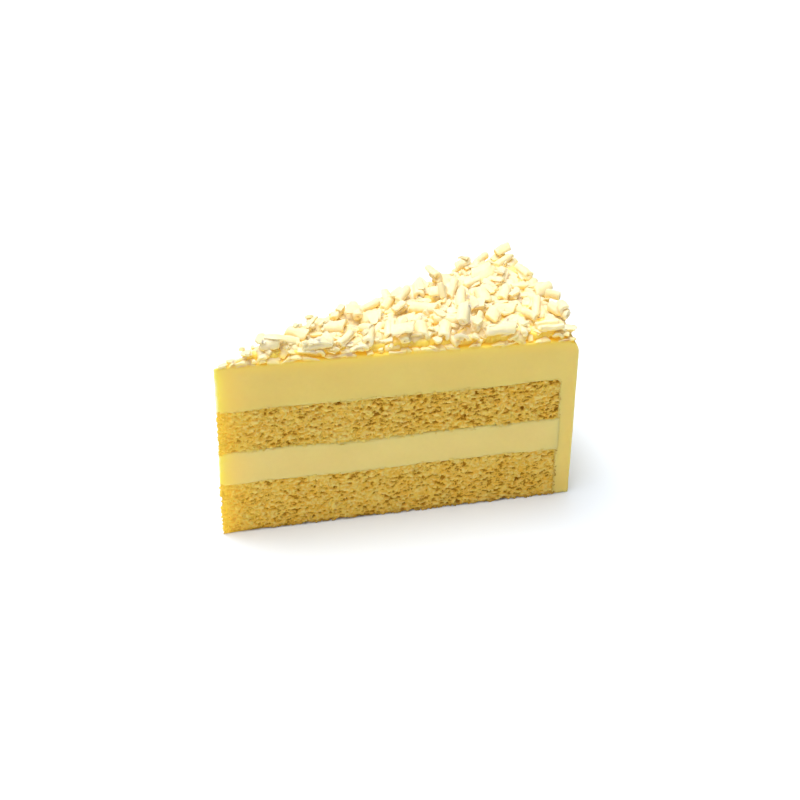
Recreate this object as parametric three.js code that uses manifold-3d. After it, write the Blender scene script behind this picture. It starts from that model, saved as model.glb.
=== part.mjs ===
// One portion of a round layered cream cake, cut as a wedge and standing on its base.
// Two sponges with a cream filling between them, a cream coat over the top and the
// outer side, and white chocolate curls on top. The tip points to -X, the outer side
// to +X, and the portion is even about the XZ plane.
import * as THREE from "three";
import { OBB } from "three/addons/math/OBB.js";
import { mergeVertices } from "three/addons/utils/BufferGeometryUtils.js";
import Module from "manifold-3d";

const wasm = await Module();
wasm.setup();

// Driving dimensions, in millimetres. The whole cake is cut into equal portions.
const CAKE_RADIUS = 120;
const PORTIONS = 14;

// Each layer's thickness at the cake's centre and at its rim, from the base upwards.
const BASE_SPONGE = { centre: 21, rim: 20 };
const FILLING = { centre: 13, rim: 13 };
const UPPER_SPONGE = { centre: 18.4, rim: 17.2 };
const TOP_CREAM = { centre: 17.6, rim: 14.8 };
const LAYERS = [BASE_SPONGE, FILLING, UPPER_SPONGE, TOP_CREAM];

// The cream on the outer side.
const SIDE_CREAM = 5;
const TOP_EDGE_RADIUS = 5;
const BASE_EDGE_RADIUS = 2;

// The layers were spread by hand, so their borders rise and fall a little.
const WAVE_HEIGHT = 0.4;
const WAVE_LENGTH = 37;
const WAVE_SHIFT = 1.7;

// Clearances between pieces that touch.
const LAYER_GAP = 0.3;
const CURL_GAP = 0.3;

// The curls keep this far inside the cut faces and inside the outer side.
const CUT_MARGIN = 0.5;
const RIM_MARGIN = 1.5;
const LIFT_STEP = 0.3;
const PILE_HEIGHT = 1.8;
const BED_HEIGHT = 3.2;
const BED_MARGIN = 1.6;
const SCATTERED_CURLS = 32;

// Shaved chocolate: a rolled tube, a thin quill, an open scroll and a nearly flat petal.
const KINDS = {
  roll: { length: 10.4, radius: 1.7, wall: 0.8, sweep: 320 },
  quill: { length: 8, radius: 1.3, wall: 0.65, sweep: 310 },
  scroll: { length: 7.4, radius: 2.1, wall: 0.8, sweep: 210 },
  petal: { length: 6.4, radius: 4, wall: 0.9, sweep: 75 },
};

// The large curls that give the pile its look. "out" is the share of the radius and
// "turn" the share of the way from the front cut to the back one. "size" is the share of
// the kind's length. Angles in degrees.
const LARGE_CURLS = [
  { kind: "roll", size: 1, out: 0.658, turn: 0.28, heading: -23, tilt: 2, spin: 200 },
  { kind: "roll", size: 0.7, out: 0.716, turn: 0.49, heading: 62, tilt: 12, spin: 120 },
  { kind: "roll", size: 0.7, out: 0.69, turn: 0.18, heading: 60, tilt: 10, spin: 160 },
  { kind: "roll", size: 0.9, out: 0.79, turn: 0.04, heading: -14, tilt: 2, spin: 90 },
  { kind: "scroll", size: 1, out: 0.92, turn: 0.05, heading: -14, tilt: 3, spin: 180 },
  { kind: "roll", size: 0.6, out: 0.42, turn: 0.18, heading: 64, tilt: 8, spin: 30 },
  { kind: "scroll", size: 1.1, out: 0.343, turn: 0.59, heading: -22, tilt: 4, spin: 0 },
  { kind: "roll", size: 0.9, out: 0.241, turn: 0.02, heading: -11, tilt: 2, spin: 140 },
  { kind: "petal", size: 1, out: 0.463, turn: 0.62, heading: -13, tilt: 6, spin: 0 },
  { kind: "scroll", size: 1.1, out: 0.615, turn: 0.55, heading: -35, tilt: 4, spin: 0 },
  { kind: "quill", size: 0.9, out: 0.723, turn: 0.69, heading: 50, tilt: 12, spin: 60 },
  { kind: "roll", size: 0.75, out: 0.883, turn: 0.68, heading: 57, tilt: 10, spin: 240 },
  { kind: "quill", size: 1.1, out: 0.909, turn: 0.28, heading: 61, tilt: 8, spin: 300 },
  { kind: "quill", size: 0.7, out: 0.531, turn: 0.78, heading: 40, tilt: 6, spin: 90 },
  { kind: "roll", size: 0.6, out: 0.641, turn: 0.82, heading: 66, tilt: 4, spin: 20 },
  { kind: "scroll", size: 0.8, out: 0.16, turn: 0.45, heading: -16, tilt: 4, spin: 30 },
  { kind: "roll", size: 0.6, out: 0.488, turn: 0.28, heading: 66, tilt: 6, spin: 200 },
  { kind: "scroll", size: 0.8, out: 0.785, turn: 0.51, heading: 84, tilt: 6, spin: 330 },
  { kind: "petal", size: 1, out: 0.52, turn: 0.04, heading: -12, tilt: 5, spin: 0 },
  { kind: "petal", size: 1, out: 0.851, turn: 0.83, heading: -5, tilt: 8, spin: 10 },
  { kind: "petal", size: 1, out: 0.828, turn: 0.34, heading: -25, tilt: 5, spin: 0 },
  { kind: "scroll", size: 0.8, out: 0.57, turn: 0.18, heading: 70, tilt: 6, spin: 15 },
];

const HALF_ANGLE = Math.PI / PORTIONS;
const ARC_STEPS = 8;
const PROFILE_STEPS = 12;
const EDGE_STEPS = 4;
const SPONGE_RADIUS = CAKE_RADIUS - SIDE_CREAM;
const TOP_LEVEL = LAYERS.length;

// The height of a layer's border above the base, level 1 being the base sponge's top.
function borderHeight(level, radius) {
  const share = radius / CAKE_RADIUS;
  let height = WAVE_HEIGHT * Math.sin((2 * Math.PI * radius) / WAVE_LENGTH + WAVE_SHIFT * level);
  for (const layer of LAYERS.slice(0, level)) {
    height += THREE.MathUtils.lerp(layer.centre, layer.rim, share);
  }
  return height;
}

// The top of the coat, with its rounded outer edge.
function coatTop(radius) {
  const edgeStart = CAKE_RADIUS - TOP_EDGE_RADIUS;
  const past = Math.max(0, radius - edgeStart);
  const drop = TOP_EDGE_RADIUS - Math.sqrt(Math.max(0, TOP_EDGE_RADIUS ** 2 - past ** 2));
  return borderHeight(TOP_LEVEL, Math.min(radius, edgeStart)) - drop;
}

// The top of the bed of small shavings, which thins out over the rounded edge.
function bedTop(radius) {
  const past = Math.max(0, radius - (CAKE_RADIUS - TOP_EDGE_RADIUS));
  const share = past / (TOP_EDGE_RADIUS - BED_MARGIN);
  return coatTop(radius) + BED_HEIGHT * (1 - share / 2);
}

// Profile points along a border, from one radius to another, moved up by a clearance.
function borderPoints(level, from, to, up) {
  const points = [];
  for (let i = 0; i <= PROFILE_STEPS; i++) {
    const radius = THREE.MathUtils.lerp(from, to, i / PROFILE_STEPS);
    points.push(new THREE.Vector2(radius, borderHeight(level, radius) + up));
  }
  return points;
}

// Profile points round a quarter edge about a centre, between two angles.
function edgePoints(x, y, radius, from, to) {
  const points = [];
  for (let i = 0; i <= EDGE_STEPS; i++) {
    const angle = THREE.MathUtils.lerp(from, to, i / EDGE_STEPS);
    points.push(new THREE.Vector2(x + radius * Math.cos(angle), y + radius * Math.sin(angle)));
  }
  return points;
}

function toSolid(geometry) {
  const bare = geometry.clone();
  bare.deleteAttribute("normal");
  bare.deleteAttribute("uv");
  const merged = mergeVertices(bare);
  const corners = [];
  for (let i = 0; i < merged.index.count; i += 3) {
    const [a, b, c] = [merged.index.getX(i), merged.index.getX(i + 1), merged.index.getX(i + 2)];
    if (a !== b && b !== c && c !== a) {
      corners.push(a, b, c);
    }
  }
  const vertProperties = new Float32Array(merged.attributes.position.array);
  const triVerts = new Uint32Array(corners);
  return new wasm.Manifold(new wasm.Mesh({ numProp: 3, vertProperties, triVerts }));
}

function toGeometry(solid) {
  const mesh = solid.getMesh();
  const geometry = new THREE.BufferGeometry();
  geometry.setAttribute("position", new THREE.BufferAttribute(mesh.vertProperties, 3));
  geometry.setIndex(new THREE.BufferAttribute(mesh.triVerts, 1));
  geometry.computeVertexNormals();
  return geometry;
}

// The wedge that the knife leaves, taller and longer than the cake.
function portionSolid() {
  const reach = 2 * CAKE_RADIUS;
  const height = 2 * borderHeight(TOP_LEVEL, 0);
  const outline = new THREE.Shape();
  outline.moveTo(0, 0);
  outline.lineTo(reach * Math.cos(HALF_ANGLE), -reach * Math.sin(HALF_ANGLE));
  outline.lineTo(reach * Math.cos(HALF_ANGLE), reach * Math.sin(HALF_ANGLE));
  outline.closePath();
  const block = new THREE.ExtrudeGeometry(outline, { depth: height, bevelEnabled: false });
  block.translate(0, 0, -height / 4);
  return toSolid(block);
}

const portion = portionSolid();

// A full round layer turned from its profile, cut down to the portion.
function cutLayer(profile) {
  const round = new THREE.LatheGeometry(profile, PORTIONS * ARC_STEPS);
  round.rotateX(Math.PI / 2);
  return toGeometry(toSolid(round).intersect(portion));
}

function spongeMaterial(color) {
  return new THREE.MeshStandardMaterial({ color, roughness: 0.95, metalness: 0 });
}

function creamMaterial(color) {
  return new THREE.MeshStandardMaterial({ color, roughness: 0.55, metalness: 0 });
}

const chocolate = new THREE.MeshStandardMaterial({ color: 0xfdf6e3, roughness: 0.5, metalness: 0 });

function baseSponge() {
  const profile = [
    new THREE.Vector2(0, 0),
    new THREE.Vector2(SPONGE_RADIUS, 0),
    ...borderPoints(1, SPONGE_RADIUS, 0, -LAYER_GAP / 2),
  ];
  return new THREE.Mesh(cutLayer(profile), spongeMaterial(0xdca94e));
}

// A layer between two borders, out to the side cream.
function innerLayer(level, material) {
  const profile = [
    ...borderPoints(level, 0, SPONGE_RADIUS, LAYER_GAP / 2),
    ...borderPoints(level + 1, SPONGE_RADIUS, 0, -LAYER_GAP / 2),
  ];
  return new THREE.Mesh(cutLayer(profile), material);
}

// The cream spread over the top and down the outer side in one go.
function creamCoat() {
  const innerWall = SPONGE_RADIUS + LAYER_GAP;
  const topEdge = CAKE_RADIUS - TOP_EDGE_RADIUS;
  const baseEdge = CAKE_RADIUS - BASE_EDGE_RADIUS;
  const profile = [
    ...borderPoints(3, 0, innerWall, LAYER_GAP / 2),
    new THREE.Vector2(innerWall, 0),
    ...edgePoints(baseEdge, BASE_EDGE_RADIUS, BASE_EDGE_RADIUS, -Math.PI / 2, 0),
    ...edgePoints(topEdge, coatTop(topEdge) - TOP_EDGE_RADIUS, TOP_EDGE_RADIUS, 0, Math.PI / 2),
    ...borderPoints(TOP_LEVEL, topEdge, 0, 0).slice(1),
  ];
  return new THREE.Mesh(cutLayer(profile), creamMaterial(0xe0c46e));
}

// The small shavings strewn over the cream, too many to build singly, as one bed.
function shavingsBed() {
  const topEdge = CAKE_RADIUS - TOP_EDGE_RADIUS;
  const under = [];
  const over = [];
  for (let i = 1; i <= EDGE_STEPS; i++) {
    const radius = THREE.MathUtils.lerp(topEdge, CAKE_RADIUS - BED_MARGIN, i / EDGE_STEPS);
    under.push(new THREE.Vector2(radius, coatTop(radius) + LAYER_GAP));
    over.unshift(new THREE.Vector2(radius, bedTop(radius)));
  }
  const profile = [
    ...borderPoints(TOP_LEVEL, 0, topEdge, LAYER_GAP),
    ...under,
    ...over,
    ...borderPoints(TOP_LEVEL, topEdge, 0, BED_HEIGHT),
  ];
  return new THREE.Mesh(cutLayer(profile), chocolate);
}

// A seeded source of numbers from 0 to 1, so that every build gives the same pile.
function numberSource(seed) {
  let state = seed;
  return () => {
    state = (state + 0x6d2b79f5) | 0;
    let mixed = Math.imul(state ^ (state >>> 15), 1 | state);
    mixed = (mixed + Math.imul(mixed ^ (mixed >>> 7), 61 | mixed)) ^ mixed;
    return ((mixed ^ (mixed >>> 14)) >>> 0) / 4294967296;
  };
}

// A curl lies along X with its crown up: a strip with a curved section, whose inner
// end is drawn in a little and whose ends are torn at a slant.
const SECTION_STEP = 32;
const TIGHTEN = 0.22;
const END_SLANT = 0.35;

function curlGeometry({ length, radius, wall, sweep }) {
  const steps = Math.ceil(sweep / SECTION_STEP);
  const start = 90 - sweep / 2;
  const outer = [];
  const inner = [];
  for (let i = 0; i <= steps; i++) {
    const share = i / steps;
    const angle = THREE.MathUtils.degToRad(start + sweep * share);
    const reach = radius * (1 - TIGHTEN * (sweep / 360) * share);
    outer.push(new THREE.Vector2(reach * Math.cos(angle), reach * Math.sin(angle)));
    inner.push(new THREE.Vector2((reach - wall) * Math.cos(angle), (reach - wall) * Math.sin(angle)));
  }
  const section = new THREE.Shape([...outer, ...inner.reverse()]);
  const geometry = new THREE.ExtrudeGeometry(section, { depth: length, bevelEnabled: false });
  geometry.translate(0, 0, -length / 2);
  geometry.applyMatrix4(new THREE.Matrix4().makeShear(0, END_SLANT, 0, 0, 0, 0));
  geometry.rotateY(Math.PI / 2);
  geometry.rotateX(Math.PI / 2);
  geometry.center();
  geometry.computeBoundingBox();
  return geometry;
}

function placedCorners(mesh) {
  mesh.updateMatrixWorld();
  const corners = [];
  for (let i = 0; i < mesh.geometry.attributes.position.count; i++) {
    const corner = new THREE.Vector3().fromBufferAttribute(mesh.geometry.attributes.position, i);
    corners.push(corner.applyMatrix4(mesh.matrixWorld));
  }
  return corners;
}

// How far inside the cut faces and the outer side the nearest corner is.
function insideBy(corners) {
  let least = Infinity;
  for (const { x, y } of corners) {
    const fromCut = x * Math.sin(HALF_ANGLE) - Math.abs(y) * Math.cos(HALF_ANGLE) - CUT_MARGIN;
    const fromRim = CAKE_RADIUS - RIM_MARGIN - Math.hypot(x, y);
    least = Math.min(least, fromCut, fromRim);
  }
  return least;
}

function boxRound(mesh) {
  mesh.updateMatrixWorld();
  const box = mesh.geometry.boundingBox.clone().expandByScalar(CURL_GAP / 2);
  return new OBB().fromBox3(box).applyMatrix4(mesh.matrixWorld);
}

const laid = [];

// Turns a curl to its heading, tilt and spin, sets it down on the bed and lifts it
// in small steps until it clears the curls already there. Gives the lift it needed.
function settle(mesh, { out, turn, heading, tilt, spin }) {
  const bearing = HALF_ANGLE * (2 * turn - 1);
  const radius = CAKE_RADIUS * out;
  const [yaw, pitch, roll] = [heading, -tilt, spin].map(THREE.MathUtils.degToRad);
  mesh.rotation.set(roll, pitch, yaw, "ZYX");
  mesh.position.set(radius * Math.cos(bearing), radius * Math.sin(bearing), 0);
  const middle = new THREE.Vector3(mesh.position.x, mesh.position.y, 0);
  const inward = new THREE.Vector3(CAKE_RADIUS / 2, 0, 0).sub(middle).normalize();
  while (insideBy(placedCorners(mesh)) < 0) {
    mesh.position.addScaledVector(inward, LIFT_STEP);
  }
  const heights = placedCorners(mesh).map((c) => bedTop(Math.hypot(c.x, c.y)) - c.z);
  mesh.position.z = Math.max(...heights) + CURL_GAP;
  let lift = 0;
  while (laid.some((box) => box.intersectsOBB(boxRound(mesh)))) {
    mesh.position.z += LIFT_STEP;
    lift += LIFT_STEP;
  }
  return lift;
}

function layLargeCurls() {
  return LARGE_CURLS.map((place) => {
    const kind = KINDS[place.kind];
    const shape = curlGeometry({ ...kind, length: kind.length * place.size });
    const mesh = new THREE.Mesh(shape, chocolate);
    settle(mesh, place);
    laid.push(boxRound(mesh));
    return mesh;
  });
}

// The rest fall where they may: a curl that would sit too high on the pile is dropped
// again somewhere else.
function scatterCurls() {
  const next = numberSource(14);
  const kinds = Object.values(KINDS);
  const meshes = [];
  while (meshes.length < SCATTERED_CURLS) {
    const kind = kinds[Math.floor(next() * kinds.length)];
    const size = 0.6 + 0.35 * next();
    const small = { ...kind, length: kind.length * size, radius: kind.radius * (0.85 + 0.15 * next()) };
    const mesh = new THREE.Mesh(curlGeometry(small), chocolate);
    const spin = kind.sweep > 180 ? 360 * next() : 24 * next() - 12;
    const place = { out: Math.sqrt(0.01 + 0.96 * next()), turn: next(), spin };
    place.heading = 180 * next() - 90;
    place.tilt = 10 * next();
    if (settle(mesh, place) <= PILE_HEIGHT) {
      laid.push(boxRound(mesh));
      meshes.push(mesh);
    }
  }
  return meshes;
}

const slice = new THREE.Group();
slice.position.x = -CAKE_RADIUS / 2;

function addPiece(name, mesh) {
  mesh.name = name;
  slice.add(mesh);
}

addPiece("base_sponge", baseSponge());
addPiece("filling_cream", innerLayer(1, creamMaterial(0xdfca7b)));
addPiece("upper_sponge", innerLayer(2, spongeMaterial(0xe0ae52)));
addPiece("cream_coat", creamCoat());
addPiece("shavings_bed", shavingsBed());
[...layLargeCurls(), ...scatterCurls()].forEach((mesh, i) => {
  addPiece(`curl_${String(i + 1).padStart(2, "0")}`, mesh);
});

export default slice;
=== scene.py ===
"""A slice of layered cream cheesecake with white chocolate curls on top."""

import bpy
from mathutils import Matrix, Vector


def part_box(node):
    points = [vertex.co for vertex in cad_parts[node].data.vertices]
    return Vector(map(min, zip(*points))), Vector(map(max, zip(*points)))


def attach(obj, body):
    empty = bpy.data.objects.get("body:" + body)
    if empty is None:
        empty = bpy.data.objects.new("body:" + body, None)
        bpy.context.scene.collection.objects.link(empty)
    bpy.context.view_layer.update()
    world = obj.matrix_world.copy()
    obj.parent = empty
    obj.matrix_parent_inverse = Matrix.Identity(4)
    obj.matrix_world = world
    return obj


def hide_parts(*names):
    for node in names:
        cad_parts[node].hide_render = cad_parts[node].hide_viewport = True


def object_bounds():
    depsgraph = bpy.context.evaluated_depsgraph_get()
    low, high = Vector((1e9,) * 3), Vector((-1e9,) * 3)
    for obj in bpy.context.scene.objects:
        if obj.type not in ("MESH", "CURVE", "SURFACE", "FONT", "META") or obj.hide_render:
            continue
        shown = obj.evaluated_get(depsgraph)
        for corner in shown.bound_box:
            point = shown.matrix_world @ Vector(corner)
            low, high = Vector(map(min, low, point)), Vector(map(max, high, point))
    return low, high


bl_info = {
    "name": "Cheesecake Slice",
    "version": (1, 0, 0),
    "blender": (4, 5, 0),
    "location": "3D View > Sidebar > Cake",
    "description": "Builds a slice of layered cream cheesecake round its packed frame",
    "category": "Object",
}

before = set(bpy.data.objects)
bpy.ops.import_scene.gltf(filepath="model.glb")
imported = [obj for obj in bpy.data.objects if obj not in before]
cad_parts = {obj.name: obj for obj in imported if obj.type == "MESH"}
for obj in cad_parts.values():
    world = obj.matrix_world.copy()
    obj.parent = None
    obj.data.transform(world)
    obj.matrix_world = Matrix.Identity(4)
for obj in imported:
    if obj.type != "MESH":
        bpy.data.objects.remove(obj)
CAD_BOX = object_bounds()

import math
import random
from collections import namedtuple

import bmesh
import bpy
import numpy as np
from mathutils import Matrix, Vector
from mathutils.bvhtree import BVHTree

MM = 0.001
UP = Vector((0, 0, 1))

# Points closer than this touch, and a length below a hair's is none.
TOUCH = 0.02 * MM
HAIR = 0.01 * MM
# Rays that look for the ground start this high.
OVERHEAD = 0.2

# The wedge, read from the frame: the tip stands at -X and the outer side at +X.
TIP = Vector((CAD_BOX[0][0], 0, 0))
RADIUS = CAD_BOX[1][0] - CAD_BOX[0][0]
HALF_ANGLE = math.asin(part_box("cream_coat")[1][1] / RADIUS)
CURLS = sorted(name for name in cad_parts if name.startswith("curl_"))


def positions(obj):
    """A mesh's points, as an array."""
    points = np.empty(len(obj.data.vertices) * 3)
    obj.data.vertices.foreach_get("co", points)
    return points.reshape(-1, 3)


def reaches(points):
    """How far each point is from the upright through the tip."""
    return np.hypot(points[:, 0] - TIP.x, points[:, 1])


def layer(node):
    """A layer's reach from the tip, and its lowest and highest points at the tip and the rim."""
    points = positions(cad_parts[node])
    reach = reaches(points)
    nearby = 0.5 * MM
    at_tip = points[reach < reach.min() + nearby, 2]
    at_rim = points[reach > reach.max() - nearby, 2]
    return {
        "reach": float(reach.max()),
        "tip": (float(at_tip.min()), float(at_tip.max())),
        "rim": (float(at_rim.min()), float(at_rim.max())),
    }


# ---------------------------------------------------------------- settings


class SpongeSettings(bpy.types.PropertyGroup):
    crumb_grid: bpy.props.FloatProperty(
        name="Crumb Grid", description="Spacing of the points on the cut faces",
        default=0.26 * MM, min=0.1 * MM, unit="LENGTH")
    pore_size: bpy.props.FloatProperty(
        name="Pore Size", description="Spacing of the larger pores",
        default=1.5 * MM, unit="LENGTH")
    pore_depth: bpy.props.FloatProperty(
        name="Pore Depth", description="How deep the larger pores go",
        default=1.0 * MM, unit="LENGTH")
    crumb_color: bpy.props.FloatVectorProperty(
        name="Crumb", description="Colour of the crumb", subtype="COLOR", size=3,
        default=(1.0, 0.655, 0.115))
    deep_color: bpy.props.FloatVectorProperty(
        name="Deeper Crumb", description="Colour of the crumb's deeper patches",
        subtype="COLOR", size=3, default=(0.97, 0.55, 0.062))
    # Painted highlight: a lighter colour on the strands that stand out, where the light catches them.
    ridge_highlight_color: bpy.props.FloatVectorProperty(
        name="Strands", description="Colour of the strands that stand out",
        subtype="COLOR", size=3, default=(1.0, 0.73, 0.20))
    # Painted shade: a darker colour down in the pores, where the shade falls.
    pore_shade_color: bpy.props.FloatVectorProperty(
        name="Pores", description="Colour down in the pores", subtype="COLOR", size=3,
        default=(0.45, 0.19, 0.004))
    crust_color: bpy.props.FloatVectorProperty(
        name="Crust", description="Colour of the baked skin", subtype="COLOR", size=3,
        default=(0.50, 0.24, 0.03))
    # Painted light: a brighter colour at the thin tip, for light coming through the cake.
    lit_through_color: bpy.props.FloatVectorProperty(
        name="Thin Crumb", description="Colour of the crumb at the thin tip",
        subtype="COLOR", size=3, default=(1.0, 0.66, 0.10))


class CreamSettings(bpy.types.PropertyGroup):
    smear: bpy.props.FloatProperty(
        name="Smear", description="How far the cream runs into the sponge's borders",
        default=0.8 * MM, unit="LENGTH")
    grid: bpy.props.FloatProperty(
        name="Cream Grid", description="Size of the remesh that softens the cream's edges",
        default=0.6 * MM, min=0.3 * MM, unit="LENGTH")
    top_edge: bpy.props.FloatProperty(
        name="Top Edge", description="Rounding of the coat's outer top edge",
        default=5 * MM, unit="LENGTH")
    coat_color: bpy.props.FloatVectorProperty(
        name="Coat", description="Colour of the cream coat", subtype="COLOR", size=3,
        default=(0.975, 0.695, 0.168))
    filling_color: bpy.props.FloatVectorProperty(
        name="Filling", description="Colour of the cream between the sponges",
        subtype="COLOR", size=3, default=(0.975, 0.72, 0.225))
    # Painted light: a brighter colour where the cream is thin, at the tip and under the top edge, for
    # light coming through it.
    lit_through_color: bpy.props.FloatVectorProperty(
        name="Thin Cream", description="Colour of the cream where it is thin",
        subtype="COLOR", size=3, default=(1.0, 0.70, 0.11))


class ChocolateSettings(bpy.types.PropertyGroup):
    color: bpy.props.FloatVectorProperty(
        name="Chocolate", description="Colour of the white chocolate", subtype="COLOR", size=3,
        default=(1.0, 0.83, 0.55))
    warm_color: bpy.props.FloatVectorProperty(
        name="Warmer Chocolate", description="Colour of the chocolate's warmer patches",
        subtype="COLOR", size=3, default=(1.0, 0.82, 0.46))
    # Partly the cream's own colour smeared on the chocolate low down, and partly painted shade warmed
    # by light bounced off the cream.
    stain_and_shade_color: bpy.props.FloatVectorProperty(
        name="Stained", description="Colour of the chocolate down by the cream",
        subtype="COLOR", size=3, default=(1.0, 0.72, 0.12))
    flakes: bpy.props.IntProperty(
        name="Flakes", description="How many small flakes fill the pile", default=720, min=0)
    set_back: bpy.props.FloatProperty(
        name="Set Back", description="How far the heap's foot stays inside the cuts",
        default=2.2 * MM, unit="LENGTH")
    rim_back: bpy.props.FloatProperty(
        name="Rim Back", description="How far the heap stays inside the outer side",
        default=5.0 * MM, unit="LENGTH")
    heap_height: bpy.props.FloatProperty(
        name="Heap Height", description="How high the heap rises over the cream",
        default=2.5 * MM, unit="LENGTH")


class StageSettings(bpy.types.PropertyGroup):
    aim: bpy.props.FloatVectorProperty(
        name="Aim", description="The point that the camera looks at", subtype="TRANSLATION",
        size=3, unit="LENGTH", default=(-1.3 * MM, -13.4 * MM, 48.9 * MM))
    distance: bpy.props.FloatProperty(
        name="Camera Distance", description="From the camera to what it looks at",
        default=0.6528, unit="LENGTH")
    azimuth: bpy.props.FloatProperty(
        name="Azimuth", description="The camera's side of the slice",
        default=math.radians(-24.46), subtype="ANGLE", unit="ROTATION")
    elevation: bpy.props.FloatProperty(
        name="Elevation", description="How far the camera looks down",
        default=math.radians(38.25), subtype="ANGLE", unit="ROTATION")
    roll: bpy.props.FloatProperty(
        name="Roll", description="The camera's tilt to its side",
        default=math.radians(0.82), subtype="ANGLE", unit="ROTATION")
    lens: bpy.props.FloatProperty(
        name="Lens", description="Focal length in millimetres on a 36 mm sensor", default=90)
    overhead: bpy.props.FloatProperty(
        name="Overhead", description="Power of the wide lamp above", default=167, min=0,
        unit="POWER")
    front_fill: bpy.props.FloatProperty(
        name="Front Fill", description="Power of the lamp in front", default=13, min=0,
        unit="POWER")
    back_rim: bpy.props.FloatProperty(
        name="Back Rim", description="Power of the lamp behind", default=20, min=0,
        unit="POWER")
    ambient: bpy.props.FloatProperty(
        name="Ambient", description="Strength of the light from all round", default=0.1, min=0)
    floor_color: bpy.props.FloatVectorProperty(
        name="Floor", description="Colour of the floor", subtype="COLOR", size=3,
        default=(0.83, 0.88, 0.95))


# ---------------------------------------------------------------- modelling helpers


def nothing_selected():
    """Leaves edit mode and deselects everything."""
    if bpy.context.object and bpy.context.object.mode != "OBJECT":
        bpy.ops.object.mode_set(mode="OBJECT")
    bpy.ops.object.select_all(action="DESELECT")


def only(obj):
    """Makes obj the one selected and active object."""
    nothing_selected()
    obj.select_set(True)
    bpy.context.view_layer.objects.active = obj


def begin(name):
    """Names the primitive just added and moves its place into its mesh."""
    obj = bpy.context.object
    obj.name = name
    obj.data.name = name
    bpy.ops.object.transform_apply(location=True, rotation=True, scale=True)
    return obj


def copied(obj):
    """A copy of an object, with a mesh of its own."""
    copy = obj.copy()
    copy.data = obj.data.copy()
    bpy.context.scene.collection.objects.link(copy)
    return copy


def pick(obj, kind, test):
    """In edit mode, selects the vertices, edges or faces that pass a test of their corners."""
    bpy.ops.object.mode_set(mode="EDIT")
    bpy.ops.mesh.select_mode(type=kind)
    bpy.ops.mesh.select_all(action="DESELECT")
    mesh = bmesh.from_edit_mesh(obj.data)
    if kind == "VERT":
        for vert in mesh.verts:
            vert.select_set(test(vert.co))
    else:
        for part in mesh.edges if kind == "EDGE" else mesh.faces:
            part.select_set(test([vert.co for vert in part.verts]))
    mesh.select_flush_mode()
    bmesh.update_edit_mesh(obj.data)


def modify(obj, kind, **settings):
    """Puts a modifier on an object with its settings, and applies it."""
    modifier = obj.modifiers.new(kind.lower(), kind)
    for key, value in settings.items():
        setattr(modifier, key, value)
    only(obj)
    bpy.ops.object.modifier_apply(modifier=modifier.name)


def noise_texture(name, kind, size, ramp=(), **values):
    """A procedural texture for relief, with its ramp given as (position, value) pairs."""
    texture = bpy.data.textures.new(name, kind)
    texture.noise_scale = size
    for key, value in values.items():
        setattr(texture, key, value)
    if ramp:
        texture.use_color_ramp = True
        stops = texture.color_ramp.elements
        while len(stops) < len(ramp):
            stops.new(0.5)
        for stop, (position, value) in zip(stops, ramp):
            stop.position = position
            stop.color = (value, value, value, 1)
    return texture


def relief(obj, texture, height, group="", direction="NORMAL", middle=0.5, stretch=None):
    """Moves a mesh's points by a texture in the slice's own space, or in the front cut's.

    A texture with a stretch is drawn out along the cut, across it and upwards."""
    space = {"texture_coords": "LOCAL"}
    if stretch:
        guide = bpy.data.objects.new("guide", None)
        bpy.context.scene.collection.objects.link(guide)
        guide.scale = stretch
        guide.rotation_euler.z = -HALF_ANGLE
        bpy.context.view_layer.update()
        space = {"texture_coords": "OBJECT", "texture_coords_object": guide}
    modify(obj, "DISPLACE", texture=texture, strength=height, mid_level=middle,
           direction=direction, vertex_group=group, **space)
    if stretch:
        bpy.data.objects.remove(guide)


def soften(obj, grid, smoothing):
    """Remeshes a plain block evenly, so that its edges go soft, and takes the steps out."""
    modify(obj, "REMESH", mode="VOXEL", voxel_size=grid)
    modify(obj, "SMOOTH", iterations=smoothing)


def smooth(obj):
    """Shades a piece smooth and drops the weights that its relief used."""
    only(obj)
    bpy.ops.object.shade_smooth()
    obj.vertex_groups.clear()


def store(obj, name, values):
    """Keeps one number for each point, for a material to read."""
    attribute = obj.data.attributes.new(name, "FLOAT", "POINT")
    attribute.data.foreach_set("value", np.asarray(values, dtype=np.float32))


def weigh(obj, name, weights):
    """A vertex group with the given weight for each point."""
    group = obj.vertex_groups.new(name=name)
    for index, weight in enumerate(weights):
        if weight > 0:
            group.add([index], float(weight), "REPLACE")


def finish_piece(obj, nodes, material):
    """Gives a finished piece its material and its place in the frame."""
    obj.data.materials.clear()
    obj.data.materials.append(material)
    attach(obj, "root")
    if nodes:
        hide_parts(*nodes)


# ---------------------------------------------------------------- shader helpers


def wire(tree, node, values, links):
    """Sets a node's plain inputs and links its others."""
    for key, value in (values or {}).items():
        node.inputs[key].default_value = value
    for key, source in (links or {}).items():
        tree.links.new(source, node.inputs[key])
    return node


def add(tree, kind, values=None, links=None, **settings):
    """Adds a shader node with its settings, its input values and its links."""
    node = tree.nodes.new("ShaderNode" + kind)
    for key, value in settings.items():
        setattr(node, key, value)
    return wire(tree, node, values, links)


def place_group(tree, name, maker, values):
    """Places a shared node group with its own values, and makes it the first time."""
    group = bpy.data.node_groups.get(name) or maker(name)
    return add(tree, "Group", values, node_tree=group)


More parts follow.
